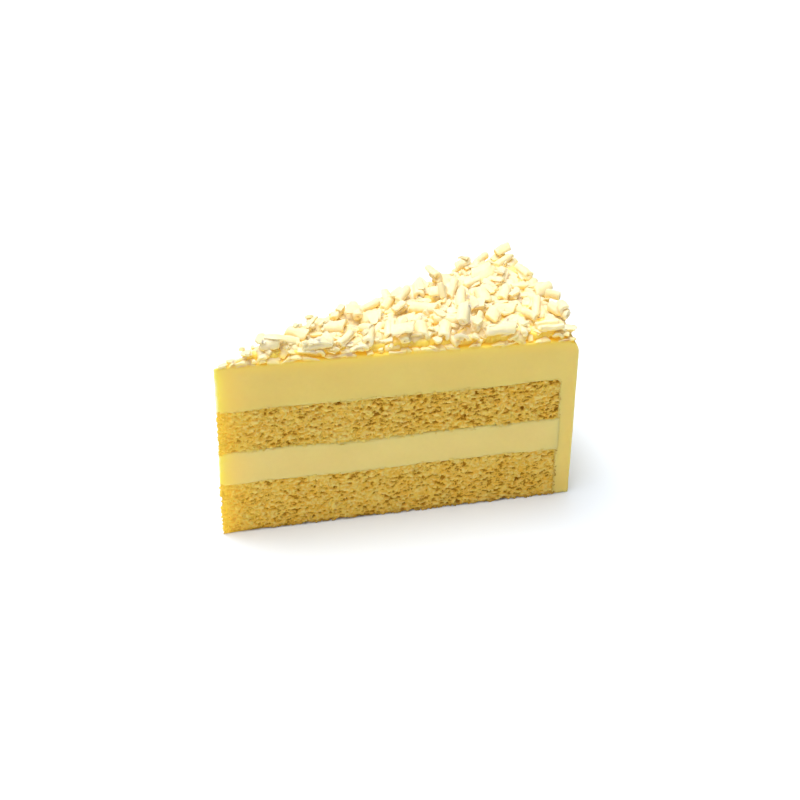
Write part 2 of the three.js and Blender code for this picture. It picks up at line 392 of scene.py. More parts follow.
def new_group(name, inputs, outputs):
    """A shader node group with named sockets, each a (name, kind, default)."""
    group = bpy.data.node_groups.new(name, "ShaderNodeTree")
    for title, kind, default in inputs:
        socket = group.interface.new_socket(title, in_out="INPUT", socket_type="NodeSocket" + kind)
        socket.default_value = default
    for title, kind in outputs:
        group.interface.new_socket(title, in_out="OUTPUT", socket_type="NodeSocket" + kind)
    given = group.nodes.new("NodeGroupInput").outputs
    return group, given, group.nodes.new("NodeGroupOutput").inputs


def ramp(tree, source, low, high):
    """0 where the source is at low and 1 where it is at high, whichever is larger."""
    node = add(tree, "MapRange", {"From Min": low, "From Max": high}, {"Value": source})
    return node.outputs["Result"]


def noted(tree, name):
    """One of the numbers kept for each point of a piece."""
    return add(tree, "Attribute", attribute_name=name).outputs["Fac"]


def rgba(color, share=1.0):
    """A plain colour for a socket, made darker by a share."""
    return (color[0] * share, color[1] * share, color[2] * share, 1)


def tinted(tree, color, goal, mask):
    """A colour over the surface, turned into a plain one where the mask says so."""
    node = add(tree, "Mix", {"B": rgba(goal)}, {"Factor": mask, "A": color}, data_type="RGBA")
    return node.outputs["Result"]


def tone_group(name):
    """Two colours mixed in soft clouds, and finer mottling in lightness."""
    group, given, out = new_group(
        name,
        [("Color A", "Color", (1, 1, 1, 1)), ("Color B", "Color", (1, 1, 1, 1)),
         ("Cloud Scale", "Float", 60), ("Mottle Scale", "Float", 900), ("Mottle", "Float", 0.1)],
        [("Color", "Color"), ("Cloud", "Float")])
    place = add(group, "TexCoord").outputs["Object"]
    cloud = add(group, "TexNoise", {"Detail": 3, "Roughness": 0.55},
                {"Vector": place, "Scale": given["Cloud Scale"]})
    soft = ramp(group, cloud.outputs["Fac"], 0.35, 0.65)
    mixed = add(group, "Mix", None, {"Factor": soft, "A": given["Color A"], "B": given["Color B"]},
                data_type="RGBA")
    mottle = add(group, "TexNoise", {"Detail": 4, "Roughness": 0.6},
                 {"Vector": place, "Scale": given["Mottle Scale"]})
    swing = add(group, "Math", {1: 0.5}, {0: mottle.outputs["Fac"]}, operation="SUBTRACT")
    scaled = add(group, "Math", None, {0: swing.outputs["Value"], 1: given["Mottle"]},
                 operation="MULTIPLY")
    lightness = add(group, "Math", {1: 1}, {0: scaled.outputs["Value"]}, operation="ADD")
    shaded = add(group, "HueSaturation", None,
                 {"Value": lightness.outputs["Value"], "Color": mixed.outputs["Result"]})
    group.links.new(shaded.outputs["Color"], out["Color"])
    group.links.new(soft, out["Cloud"])
    return group


def grain_group(name):
    """A height from two sizes of noise."""
    group, given, out = new_group(
        name,
        [("Coarse Scale", "Float", 400), ("Fine Scale", "Float", 2500), ("Fine Share", "Float", 0.4)],
        [("Height", "Float")])
    place = add(group, "TexCoord").outputs["Object"]
    coarse = add(group, "TexNoise", {"Detail": 3},
                 {"Vector": place, "Scale": given["Coarse Scale"]})
    fine = add(group, "TexNoise", {"Detail": 4, "Roughness": 0.65},
               {"Vector": place, "Scale": given["Fine Scale"]})
    both = add(group, "Mix", None, {"Factor": given["Fine Share"], "A": coarse.outputs["Fac"],
                                    "B": fine.outputs["Fac"]}, data_type="FLOAT")
    group.links.new(both.outputs["Result"], out["Height"])
    return group


def tone(tree, color, other, cloud_scale, mottle_scale, mottle):
    """The shared drift of colour, with a material's own two colours and sizes."""
    return place_group(tree, "Tone Drift", tone_group, {
        "Color A": color, "Color B": other, "Cloud Scale": cloud_scale,
        "Mottle Scale": mottle_scale, "Mottle": mottle}).outputs


def grain(tree, coarse_scale, fine_scale, fine_share):
    """The height of the shared grain, with a material's own sizes."""
    return place_group(tree, "Surface Grain", grain_group, {
        "Coarse Scale": coarse_scale, "Fine Scale": fine_scale,
        "Fine Share": fine_share}).outputs["Height"]


def new_material(name, roughness, specular, soft=0.0, depth=(1, 1, 1), scale=0.0):
    """A material with an empty tree but for its output and a Principled shader.

    Light goes into a soft one: depth is its share in red, green and blue, and scale how far."""
    material = bpy.data.materials.new(name)
    material.use_nodes = True
    tree = material.node_tree
    tree.nodes.clear()
    out = tree.nodes.new("ShaderNodeOutputMaterial")
    shader = tree.nodes.new("ShaderNodeBsdfPrincipled")
    tree.links.new(shader.outputs["BSDF"], out.inputs["Surface"])
    shader.inputs["Roughness"].default_value = roughness
    shader.inputs["Specular IOR Level"].default_value = specular
    shader.inputs["Subsurface Weight"].default_value = soft
    shader.inputs["Subsurface Radius"].default_value = depth
    shader.inputs["Subsurface Scale"].default_value = scale
    return material, tree, shader


def paint_glow(tree, shader, mask, color, strength):
    """Painted glow: emission that stands in for a little light coming through from behind, where the
    mask says so.
    """
    carried = add(tree, "Mix", {"A": (0, 0, 0, 1), "B": rgba(color)}, {"Factor": mask},
                  data_type="RGBA")
    tree.links.new(carried.outputs["Result"], shader.inputs["Emission Color"])
    shader.inputs["Emission Strength"].default_value = strength


def bump(tree, shader, height, distance, strength):
    """Fine relief that the mesh is too coarse to carry."""
    node = add(tree, "Bump", {"Distance": distance, "Strength": strength}, {"Height": height})
    tree.links.new(node.outputs["Normal"], shader.inputs["Normal"])


def rough_from(tree, shader, source, low, high):
    """Roughness that goes from low to high with the source."""
    spread = add(tree, "MapRange", {"To Min": low, "To Max": high}, {"Value": source})
    tree.links.new(spread.outputs["Result"], shader.inputs["Roughness"])


# ---------------------------------------------------------------- sponge

# How much taller each sponge's pores are, which also sets the two apart, and how baked
# its rim is.
SPONGES = {
    "base_sponge": (0.0, 0.9),
    "upper_sponge": (0.03, 0.35),
}
# How far a cut face runs past the borders with the cream.
SPONGE_LAP = 0.45 * MM
# Both sizes of pore are drawn out sideways.
PORE_SPREAD = 1.8
# The smaller pores' spacing and depth, as shares of the larger ones'.
FINE_SPACING = 0.48
FINE_DEPTH = 0.4
PORE_RAMP = [(0.0, 1), (0.2, 0.95), (0.4, 0.1), (0.6, 0)]
FINE_PORE_RAMP = [(0.0, 0), (0.12, 0.1), (0.3, 1), (1.0, 1)]
# How deep the baked skin goes at the rim and underneath.
RIM_SKIN = 1.3 * MM
UNDER_SKIN = 1.6 * MM
# The layers' waves grow from nothing on the plate to their full height here.
WAVE_RISE = 15 * MM
# How many points a cut edge gets in one go, and the steps of a turn from cut to cut.
MOST_CUTS = 60
TURN_STEPS = 10
# Painted glow: an emission colour that stands in for light coming through thin cake.
LIT_THROUGH_GLOW = (1.0, 0.5, 0.0)


def sponge_material():
    """Open crumb: golden walls, deep brown-gold pores of painted shade, painted highlights on the
    strands, and painted light and a painted glow at the thin tip.
    """
    settings = bpy.context.scene.cake_sponge
    material, tree, shader = new_material("sponge_crumb", 0.9, 0.15, soft=0.3,
                                          depth=(1.0, 0.5, 0.12), scale=1.8 * MM)
    color = tone(tree, rgba(settings.crumb_color), rgba(settings.deep_color), 240, 1500, 0.5)["Color"]
    pore = noted(tree, "pore")
    thin = noted(tree, "thin")
    # The strand colour is a painted highlight, the pore colour painted shade and the thin colour
    # painted light through the tip; the crust is the baked skin's own colour.
    tints = (
        (pore, 0.45, 0.0, settings.ridge_highlight_color),
        (pore, 0.66, 0.97, settings.pore_shade_color),
        (noted(tree, "crust"), 0.0, 1.0, settings.crust_color),
        (thin, 0.0, 0.8, settings.lit_through_color),
    )
    for source, low, high, goal in tints:
        color = tinted(tree, color, goal, ramp(tree, source, low, high))
    tree.links.new(color, shader.inputs["Base Color"])
    # Painted glow at the thin tip, for light coming through.
    paint_glow(tree, shader, thin, LIT_THROUGH_GLOW, 0.25)
    height = grain(tree, 1800, 4200, 0.4)
    bump(tree, shader, height, 0.35 * MM, 0.9)
    rough_from(tree, shader, height, 0.8, 1.0)
    return material


def is_level(ends):
    """Whether an edge runs along a layer and not up it."""
    return abs(ends[0].z - ends[1].z) < 0.2 * (ends[0] - ends[1]).length


def cut_face(name, node, grid, lap):
    """The front cut face of a layer as a fine grid of quads, in place."""
    size = layer(node)
    nothing_selected()
    bpy.ops.mesh.primitive_plane_add(size=2, location=TIP, rotation=(math.pi / 2, 0, -HALF_ANGLE))
    face = begin(name)
    along = Vector((math.cos(HALF_ANGLE), -math.sin(HALF_ANGLE), 0))
    below = 0 if size["tip"][0] < MM else lap
    corners = {
        (-1, -1): TIP + UP * (size["tip"][0] - below),
        (1, -1): TIP + along * size["reach"] + UP * (size["rim"][0] - below),
        (1, 1): TIP + along * size["reach"] + UP * (size["rim"][1] + lap),
        (-1, 1): TIP + UP * (size["tip"][1] + lap),
    }
    for (side, level), goal in corners.items():
        now = TIP + along * side + UP * level
        pick(face, "VERT", lambda co: (co - now).length < 0.1)
        bpy.ops.transform.translate(value=goal - now)
    columns = round(size["reach"] / grid)
    rows = round((size["tip"][1] - size["tip"][0]) / grid)
    for along_layer, count in ((True, columns), (False, rows)):
        while count > 1:
            cuts = min(count, MOST_CUTS)
            pick(face, "EDGE", lambda ends: is_level(ends) == along_layer)
            bpy.ops.mesh.subdivide(number_cuts=cuts - 1)
            count = round(count / cuts)
    return face


def sweep_layer(face):
    """Turns the cut face round the tip into a whole layer, with a copy of it at each cut."""
    pick(face, "FACE", lambda corners: True)
    bpy.ops.mesh.duplicate()
    bpy.ops.mesh.spin(steps=TURN_STEPS, angle=-2 * HALF_ANGLE, center=TIP, axis=UP)
    bpy.ops.mesh.select_all(action="SELECT")
    bpy.ops.mesh.remove_doubles(threshold=TOUCH)
    bpy.ops.mesh.normals_make_consistent(inside=False)
    bpy.ops.object.mode_set(mode="OBJECT")
    return face


def cut_depth(points):
    """How far inside the nearer cut face each point lies."""
    return (points[:, 0] - TIP.x) * math.sin(HALF_ANGLE) - np.abs(points[:, 1]) * math.cos(HALF_ANGLE)


def layer_waves(obj):
    """The uneven spread of the layers: the same waves for all, so that borders still meet."""
    relief(obj, noise_texture("spread", "CLOUDS", 24 * MM), 1.3 * MM, "rise", "Z")
    relief(obj, noise_texture("ripple", "CLOUDS", 5 * MM), 0.5 * MM, "rise", "Z")


def open_crumb(sponge, taller):
    """Sinks the pores into the cut faces and roughens the crumb between them."""
    settings = bpy.context.scene.cake_sponge
    size = settings.pore_size
    stretch = (PORE_SPREAD, PORE_SPREAD, 1 + taller)
    cells = {"noise_distortion": "IMPROVED_PERLIN", "distortion": 0.9}
    relief(sponge, noise_texture("swell", "CLOUDS", 7 * MM), 0.5 * MM, "cut")
    pores = noise_texture("pores", "DISTORTED_NOISE", size, PORE_RAMP,
                          noise_basis="VORONOI_F2_F1", **cells)
    relief(sponge, pores, settings.pore_depth, "cut", middle=1, stretch=stretch)
    fine = noise_texture("fine pores", "DISTORTED_NOISE", size * FINE_SPACING, FINE_PORE_RAMP,
                         noise_basis="VORONOI_F1", **cells)
    relief(sponge, fine, settings.pore_depth * FINE_DEPTH, "cut", middle=1, stretch=stretch)
    crumb = noise_texture("crumb", "CLOUDS", 1.0 * MM, noise_depth=3)
    relief(sponge, crumb, 1.3 * MM, "cut", stretch=stretch)


def note_pores(sponge, flat):
    """Notes each point's rank by how far it has sunk from where it was on a flat cut face."""
    sunk = cut_depth(positions(sponge)) - flat
    on_cut = flat < 5 * TOUCH
    percent = np.arange(101)
    ranks = np.interp(sunk, np.percentile(sunk[on_cut], percent), percent / 100)
    store(sponge, "pore", np.where(on_cut, ranks, 0.4))


def note_crust(sponge, reach, baked):
    """Notes how much of the baked skin shows, at the rim and underneath."""
    points = positions(sponge)
    outer = np.clip(1 + (reaches(points) - reach) / RIM_SKIN, 0, 1)
    under = np.clip(1 - points[:, 2] / UNDER_SKIN, 0, 1)
    store(sponge, "crust", np.clip(np.maximum(outer * baked, under * 0.8), 0, 1))


def note_lit_through(obj, top=None):
    """Notes where a piece gets painted light, as if light came through where it is thin: at the tip,
    and just under the coat's top.

    The top is given by its height at the tip and at the rim."""
    points = positions(obj)
    reach = reaches(points)
    thin = np.exp(-reach / (5 * MM)) * 1.1
    if top:
        below = top[0] + (top[1] - top[0]) * reach / RADIUS - points[:, 2]
        thin = np.maximum(thin, np.exp(-np.maximum(below, 0) / (2.2 * MM)) * 0.95)
    store(obj, "thin", np.clip(thin, 0, 1))


def make_sponge(node, taller, baked):
    """A sponge: its layer's shape and waves, with open crumb in both cut faces."""
    settings = bpy.context.scene.cake_sponge
    sponge = sweep_layer(cut_face(node + "_crumb", node, settings.crumb_grid, SPONGE_LAP))
    points = positions(sponge)
    weigh(sponge, "cut", cut_depth(points) < TOUCH)
    weigh(sponge, "rise", np.clip(points[:, 2] / WAVE_RISE, 0, 1))
    layer_waves(sponge)
    flat = cut_depth(positions(sponge))
    open_crumb(sponge, taller)
    note_pores(sponge, flat)
    note_crust(sponge, layer(node)["reach"], baked)
    note_lit_through(sponge)
    smooth(sponge)
    return sponge


# ---------------------------------------------------------------- cream

# The round block that a wedge is cut from: its height, and how many sides it has.
BLOCK_HEIGHT = 0.2
BLOCK_SIDES = 280
# A hollow goes past the cuts by this share of the half angle.
WIDER = 1.3


def cream_material(name, color, shade):
    """Soft whipped cream that light goes into, a shade darker in wide patches, with painted light and a
    painted glow where it is thin.
    """
    settings = bpy.context.scene.cake_cream
    material, tree, shader = new_material(name, 0.5, 0.35, soft=0.85, depth=(1.0, 0.85, 0.55),
                                          scale=2.5 * MM)
    drift = tone(tree, rgba(color), rgba(color, shade), 45, 700, 0.06)
    thin = noted(tree, "thin")
    # Painted light: a brighter, more saturated colour where the cream is thin, at the tip and under the
    # top edge.
    lit = tinted(tree, drift["Color"], settings.lit_through_color, thin)
    tree.links.new(lit, shader.inputs["Base Color"])
    # Painted glow where the cream is thin, for light coming through.
    paint_glow(tree, shader, thin, LIT_THROUGH_GLOW, 0.12)
    bump(tree, shader, grain(tree, 350, 2400, 0.35), 0.12 * MM, 0.5)
    rough_from(tree, shader, drift["Cloud"], 0.42, 0.58)
    return material


def wedge(name, reach, top, under=None, half_angle=HALF_ANGLE, floor=0):
    """A plain wedge cut from a round block by the knife's two planes.

    Its top, and its underside if it has one, slope between a height at the tip and one at
    its reach. Without an underside it stands on the floor."""
    nothing_selected()
    bpy.ops.mesh.primitive_cylinder_add(vertices=BLOCK_SIDES, radius=reach, depth=BLOCK_HEIGHT,
                                        location=TIP + UP * (floor + BLOCK_HEIGHT / 2))
    block = begin(name)
    cuts = [(TIP, Vector((-math.sin(half_angle), side * math.cos(half_angle), 0))) for side in (-1, 1)]
    cuts.append((TIP + UP * top[0], Vector((top[0] - top[1], 0, reach))))
    if under:
        cuts.append((TIP + UP * under[0], Vector((under[1] - under[0], 0, -reach))))
    bpy.ops.object.mode_set(mode="EDIT")
    for place, way in cuts:
        bpy.ops.mesh.select_all(action="SELECT")
        bpy.ops.mesh.bisect(plane_co=place, plane_no=way.normalized(), use_fill=True,
                            clear_outer=True)
    bpy.ops.mesh.select_all(action="SELECT")
    bpy.ops.mesh.normals_make_consistent(inside=False)
    bpy.ops.object.mode_set(mode="OBJECT")
    return block


def hollow_out(block, core):
    """Takes the core out of the block."""
    modify(block, "BOOLEAN", operation="DIFFERENCE", solver="EXACT", object=core)
    bpy.data.objects.remove(core)


def cream_relief(obj):
    """The layers' waves, and the cream's own swells and knife drags."""
    weigh(obj, "rise", np.clip(positions(obj)[:, 2] / WAVE_RISE, 0, 1))
    layer_waves(obj)
    relief(obj, noise_texture("swell", "CLOUDS", 14 * MM), 0.4 * MM)
    drag = noise_texture("drag", "CLOUDS", 3 * MM, noise_depth=2)
    relief(obj, drag, 0.16 * MM, stretch=(3, 1, 0.6))
    smooth(obj)


def make_filling():
    """The cream between the sponges, run a little into both."""
    settings = bpy.context.scene.cake_cream
    size = layer("filling_cream")
    run = settings.smear
    filling = wedge("filling", size["reach"] + run,
                    top=(size["tip"][1] + run, size["rim"][1] + run),
                    under=(size["tip"][0] - run, size["rim"][0] - run))
    soften(filling, settings.grid, 2)
    cream_relief(filling)
    note_lit_through(filling)
    return filling


def coat_top():
    """The height of the coat's top at the tip, and how much it falls for each metre outwards."""
    at_tip = layer("cream_coat")["tip"][1]
    start_of_edge = RADIUS - bpy.context.scene.cake_cream.top_edge
    points = positions(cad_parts["cream_coat"])
    shelf = points[np.abs(reaches(points) - start_of_edge) < 0.6 * MM, 2].max()
    return at_tip, (at_tip - shelf) / start_of_edge


def make_coat():
    """The cream over the top and the outer side, hollowed out for the layers inside it."""
    settings = bpy.context.scene.cake_cream
    sponge = layer("upper_sponge")
    base = layer("base_sponge")
    run = settings.smear
    at_tip, fall = coat_top()
    top = (at_tip, at_tip - fall * RADIUS)
    coat = wedge("coat", RADIUS, top)
    pick(coat, "EDGE", lambda ends: all(
        math.hypot(end.x - TIP.x, end.y) > RADIUS - 0.05 * MM and end.z > 0.5 * at_tip
        for end in ends))
    bpy.ops.mesh.bevel(offset=settings.top_edge, segments=8, affect="EDGES")
    bpy.ops.object.mode_set(mode="OBJECT")
    hollow_out(coat, wedge("core", sponge["reach"] - run,
                           (sponge["tip"][1] - run, sponge["rim"][1] - run),
                           half_angle=HALF_ANGLE * WIDER, floor=base["rim"][1] - 2 * MM))
    hollow_out(coat, wedge("base core", base["reach"] - run,
                           (base["tip"][1] + MM, base["rim"][1] + MM),
                           half_angle=HALF_ANGLE * WIDER, floor=-10 * MM))
    soften(coat, settings.grid, 2)
    cream_relief(coat)
    note_lit_through(coat, top)
    return coat


# ---------------------------------------------------------------- chocolate

# How far down the heap of flakes goes into the cream.
HEAP_DEPTH = 3 * MM
# The chocolate takes on the cream's colour within this height of it, partly cream smeared on it and
# partly painted shade warmed by light bounced off the cream. Painted shade adds this much more where it
# faces down, and it takes this much where it hangs past the cream.
STAIN_AND_SHADE_HEIGHT = 6.5 * MM
PAINTED_SHADE_FACING = 0.35
STAIN_AND_SHADE_BEYOND = 0.3
# How much of the cream's colour and painted shade the loose pieces and the heap take on low down.
LOOSE_STAIN_AND_SHADE = 0.45
HEAP_STAIN_AND_SHADE = 1.2
# Painted glow: an emission colour in the stained parts that stands in for light coming through the
# chocolate.
STAIN_GLOW = (1.0, 0.64, 0.1)

# How the chips on the heap rise and fall.
CHIP_RAMP = [(0.0, 1), (0.35, 0.85), (0.7, 0.1), (1.0, 0)]

# The kinds of flake: sizes in mm, how far one bends along its length and rolls up across
# it in degrees, how narrow its far end is, and how common it is in the early drops and in
# the last one.
FlakeKind = namedtuple("FlakeKind", "length width thickness bend roll taper early late")
FLAKES = {
    "strip": FlakeKind(6.4, 2.5, 0.9, 50, 60, 0.7, 5, 3),
    "half_roll": FlakeKind(5.2, 4.2, 0.9, 8, 190, 0.9, 4, 2),
    "flat": FlakeKind(4.2, 3.2, 0.8, 20, 30, 0.55, 4, 3),
    "bit": FlakeKind(2.6, 1.9, 1.0, 20, 0, 0.8, 3, 3),
    "crumb": FlakeKind(1.5, 1.2, 1.0, 0, 0, 0.9, 2, 3),
}
SHAPES_OF_EACH = 3
# A flake that rolls up by more than this many degrees needs more cuts across.
TIGHT_ROLL = 100

# The drops: each one's part of all the flakes, how much room a flake keeps, how high it
# lies, how far it leans, how even the drop is, and whether it also lands on the curls. A
# crowd of 0.5 is even, and a higher one is denser at the tip.
Drop = namedtuple("Drop", "part spacing lift tilt crowd on_curls")
DROPS = (
    Drop(0.5, 0.42, 0.5, 0.25, 0.48, False),
    Drop(0.33, 0.45, 0.6, 0.3, 0.68, False),
    Drop(0.17, 0.5, 0.6, 0.35, 0.9, True),
)
TRIES_EACH = 40
NEAREST = 0.0008
FARTHEST = 0.985
# How far a flake's middle may stand past a cut, and how far it keeps from the rim.
OVERHANG = 0.3 * MM
RIM_ROOM = 2.2 * MM
# A flake at a cut looks for the ground this far inwards.
CUT_MARGIN = 0.8 * MM


def chocolate_material():
    """White chocolate with a satin skin, which takes on the cream's colour low down, partly as smeared
    cream and partly as painted shade warmed by bounced light, with a painted glow.
    """
    settings = bpy.context.scene.cake_chocolate
    material, tree, shader = new_material("shaved_chocolate", 0.5, 0.3, soft=0.75,
                                          depth=(1.0, 0.93, 0.8), scale=1.3 * MM)
    drift = tone(tree, rgba(settings.color), rgba(settings.warm_color), 160, 1400, 0.06)
    # Partly cream's colour on the chocolate, partly painted shade warmed by bounced light.
    stain = ramp(tree, noted(tree, "stain"), 0.35, 0.9)
    color = tinted(tree, drift["Color"], settings.stain_and_shade_color, stain)
    tree.links.new(color, shader.inputs["Base Color"])
    # Painted glow in the stained parts, for light coming through the chocolate.
    paint_glow(tree, shader, stain, STAIN_GLOW, 0.13)
    bump(tree, shader, grain(tree, 900, 3800, 0.4), 0.15 * MM, 0.5)
    rough_from(tree, shader, drift["Cloud"], 0.38, 0.6)
    return material


def make_curl(node):
    """A large curl: the frame's plain strip, made even, a little thicker, bent and torn."""
    nothing_selected()
    curl = copied(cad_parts[node])
    curl.name = node + "_shaving"
    only(curl)
    bpy.ops.object.mode_set(mode="EDIT")
    bpy.ops.mesh.select_all(action="SELECT")
    bpy.ops.mesh.remove_doubles(threshold=HAIR)
    bpy.ops.object.mode_set(mode="OBJECT")
    soften(curl, 0.2 * MM, 1)
    relief(curl, None, 0.3 * MM, middle=0)
    relief(curl, noise_texture("bend", "CLOUDS", 5 * MM), 0.9 * MM, direction="RGB_TO_XYZ")
    relief(curl, noise_texture("tear", "CLOUDS", 1.2 * MM, noise_depth=2), 0.3 * MM)
    soften(curl, 0.22 * MM, 1)
    modify(curl, "DECIMATE", ratio=0.35)
    bpy.ops.object.shade_smooth_by_angle(angle=math.radians(60))
    return curl


def make_heap():
    """The bottom of the pile: fine shavings pressed into the cream, set back from the cuts."""
    settings = bpy.context.scene.cake_chocolate
    top_tip, fall = coat_top()
    inset = settings.set_back / math.sin(HALF_ANGLE)
    reach = RADIUS - settings.rim_back - inset
    near = top_tip - fall * inset + settings.heap_height
    heap = wedge("shavings_bed_heap", reach, top=(near, near - fall * reach),
                 under=(near - HEAP_DEPTH, near - HEAP_DEPTH - fall * reach))
    heap.data.transform(Matrix.Translation((inset, 0, 0)))
    soften(heap, 0.45 * MM, 16)
    weigh(heap, "rise", np.ones(len(heap.data.vertices)))
    layer_waves(heap)
    relief(heap, noise_texture("lumps", "CLOUDS", 4 * MM), 1.8 * MM)
    chips = noise_texture("chips", "DISTORTED_NOISE", 1.7 * MM, CHIP_RAMP, noise_basis="VORONOI_F1",
                          noise_distortion="IMPROVED_PERLIN", distortion=0.6)
    relief(heap, chips, 1.0 * MM)
    smooth(heap)
    return heap


def make_flake(name, seed):
    """A small torn flake of a few dozen faces, lying at the origin."""
    kind = FLAKES[name]
    nothing_selected()
    bpy.ops.mesh.primitive_cube_add(
        size=1, scale=(kind.length * MM, kind.width * MM, kind.thickness * MM))
    flake = begin(name)
    for axis, cuts in ((0, 3), (1, 3 if kind.roll > TIGHT_ROLL else 1)):
        others = [other for other in range(3) if other != axis]
        pick(flake, "EDGE", lambda ends: all(abs(ends[0][way] - ends[1][way]) < HAIR for way in others))
        bpy.ops.mesh.subdivide(number_cuts=cuts)
    lopsided = (0, kind.width * (0.15 * seed - 0.15) * MM, 0)
    for share, narrow in ((0.45, kind.taper), (0.2, (1 + kind.taper) / 2)):
        pick(flake, "VERT", lambda co: co.x > share * kind.length * MM)
        bpy.ops.transform.resize(value=(1, narrow, 1), center_override=lopsided)
    bpy.ops.mesh.select_all(action="SELECT")
    bpy.ops.mesh.vertices_smooth(factor=0.25, repeat=1)
    bpy.ops.transform.resize(value=(1.07, 1.07, 1.12))
    bpy.ops.transform.vertex_random(offset=0.2 * MM, seed=seed + len(name))
    bpy.ops.object.mode_set(mode="OBJECT")
    for angle, turn in ((kind.bend, 0), (kind.roll, math.pi / 2)):
        upright = Matrix.Rotation(math.pi / 2, 4, "X") @ Matrix.Rotation(turn, 4, "Z")
        flake.data.transform(upright)
        modify(flake, "SIMPLE_DEFORM", deform_method="BEND", deform_axis="Z",
               angle=math.radians(angle))
        flake.data.transform(upright.inverted())
    return flake


def ground_tree(objects):
    """What a falling flake would land on."""
    corners = []
    faces = []
    for obj in objects:
        first = len(corners)
        corners.extend(vert.co.copy() for vert in obj.data.vertices)
        faces.extend([first + i for i in face.vertices] for face in obj.data.polygons)
    return BVHTree.FromPolygons(corners, faces)


def note_stain_and_shade(piece, cream, share):
    """Notes how much of the cream's colour each point takes on: low down, partly smeared cream and
    partly painted shade, and facing down, which is painted shade.
    """
    stain = []
    for vert in piece.data.vertices:
        hit = cream.ray_cast(vert.co + UP * OVERHEAD, -UP)[0]
        low = 1 - min(max((vert.co.z - hit.z) / STAIN_AND_SHADE_HEIGHT, 0), 1) if hit else STAIN_AND_SHADE_BEYOND
        # Facing down adds painted shade.
        stain.append(min(low * share + PAINTED_SHADE_FACING * (1 - vert.normal.z), 1))
    store(piece, "stain", stain)


def trim_at_cut(flake, side):
    """Slices a flake where the knife passed."""
    only(flake)
    way = Vector((-math.sin(HALF_ANGLE), side * math.cos(HALF_ANGLE), 0))
    bpy.ops.object.mode_set(mode="EDIT")
    bpy.ops.mesh.select_all(action="SELECT")
    bpy.ops.mesh.bisect(plane_co=TIP - way * 0.1 * MM, plane_no=way, use_fill=True,
                        clear_outer=True)
    bpy.ops.object.mode_set(mode="OBJECT")


def joined(copies, name):
    """The dropped flakes as one piece."""
    nothing_selected()
    for copy in copies:
        copy.select_set(True)
    bpy.context.view_layer.objects.active = copies[0]
    bpy.ops.object.join()
    drift = bpy.context.object
    drift.name = name
    bpy.ops.object.shade_smooth_by_angle(angle=math.radians(55))
    return drift


def drop_flakes(name, masters, ground, count, chance, drop):
    """Copies the flakes and lets them fall over the top, each clear of the others' middles."""
    weights = [kind.late if drop.on_curls else kind.early for kind in FLAKES.values()]
    copies = []
    taken = []
    tries = 0
    while len(copies) < count and tries < count * TRIES_EACH:
        tries += 1
        reach = RADIUS * chance.uniform(NEAREST, FARTHEST) ** drop.crowd
        bearing = HALF_ANGLE * chance.uniform(-1, 1)
        place = TIP + Vector((reach * math.cos(bearing), reach * math.sin(bearing), 0))
        title = chance.choices(list(FLAKES), weights=weights)[0]
        master = masters[title][chance.randrange(SHAPES_OF_EACH)]
        kind = FLAKES[title]
        size = chance.uniform(0.75, 1.25)
        turn = Matrix.Rotation(chance.uniform(0, 2 * math.pi), 4, "Z")
        lean = Matrix.Rotation(chance.gauss(0, drop.tilt), 4, "X")
        lean = lean @ Matrix.Rotation(chance.gauss(0, drop.tilt), 4, "Y")
        inside = reach * math.sin(HALF_ANGLE - abs(bearing))
        if inside < -OVERHANG or reach > RADIUS - RIM_ROOM:
            continue
        room = drop.spacing * (kind.length + kind.width) * 0.25 * MM
        if any((place - other).length < room + others_room for other, others_room in taken):
            continue
        side = math.copysign(1, bearing)
        inward = Vector((0, -side * CUT_MARGIN, 0)) if inside < CUT_MARGIN else Vector()
        hit, normal, _, _ = ground.ray_cast(place + inward + UP * OVERHEAD, -UP)
        if hit is None:
            continue
        taken.append((place, room))
        raised = hit - inward + UP * (kind.thickness * 0.5 * size * drop.lift * MM)
        facing = UP.lerp(normal, 0.4).normalized().to_track_quat("Z", "Y").to_matrix().to_4x4()
        copy = copied(master)
        copy.data.transform(Matrix.Translation(raised) @ facing @ turn @ lean @ Matrix.Scale(size, 4))
        if inside < kind.length * MM:
            trim_at_cut(copy, side)
        copies.append(copy)
    return joined(copies, name)


# ---------------------------------------------------------------- stage

FLOOR_RADIUS = 0.8
FLOOR_GAP = 0.2 * MM
FLOOR_SHADE = (0.82, 0.87, 0.94)
# Each lamp's place and width, and the point that all of them face.
LAMPS = {
    "overhead": ((-0.3, 0.3, 3.6), 3),
    "front_fill": ((-1.4, -1.8, 1.8), 2),
    "back_rim": ((-1.1, 1.5, 2.0), 1.8),
}
LIT_POINT = Vector((0, 0, 0.04))


def make_floor():
    """A round of pale paper under the slice."""
    nothing_selected()
    bpy.ops.mesh.primitive_circle_add(vertices=96, radius=FLOOR_RADIUS, fill_type="NGON",
                                      location=(0, 0, -FLOOR_GAP))
    floor = begin("floor")
    material, tree, shader = new_material("floor_paper", 0.9, 0.0)
    color = rgba(bpy.context.scene.cake_stage.floor_color)
    drift = tone(tree, color, rgba(FLOOR_SHADE), 2, 40, 0.01)
    tree.links.new(drift["Color"], shader.inputs["Base Color"])
    floor.data.materials.append(material)


def make_light(name, place, width, power):
    """A round soft lamp that faces the slice."""
    lamp = bpy.data.lights.new(name, "AREA")
    lamp.shape = "DISK"
    lamp.size = width
    lamp.energy = power
    light = bpy.data.objects.new(name, lamp)
    light.location = place
    light.rotation_euler = (LIT_POINT - Vector(place)).to_track_quat("-Z", "Y").to_euler()
    bpy.context.scene.collection.objects.link(light)


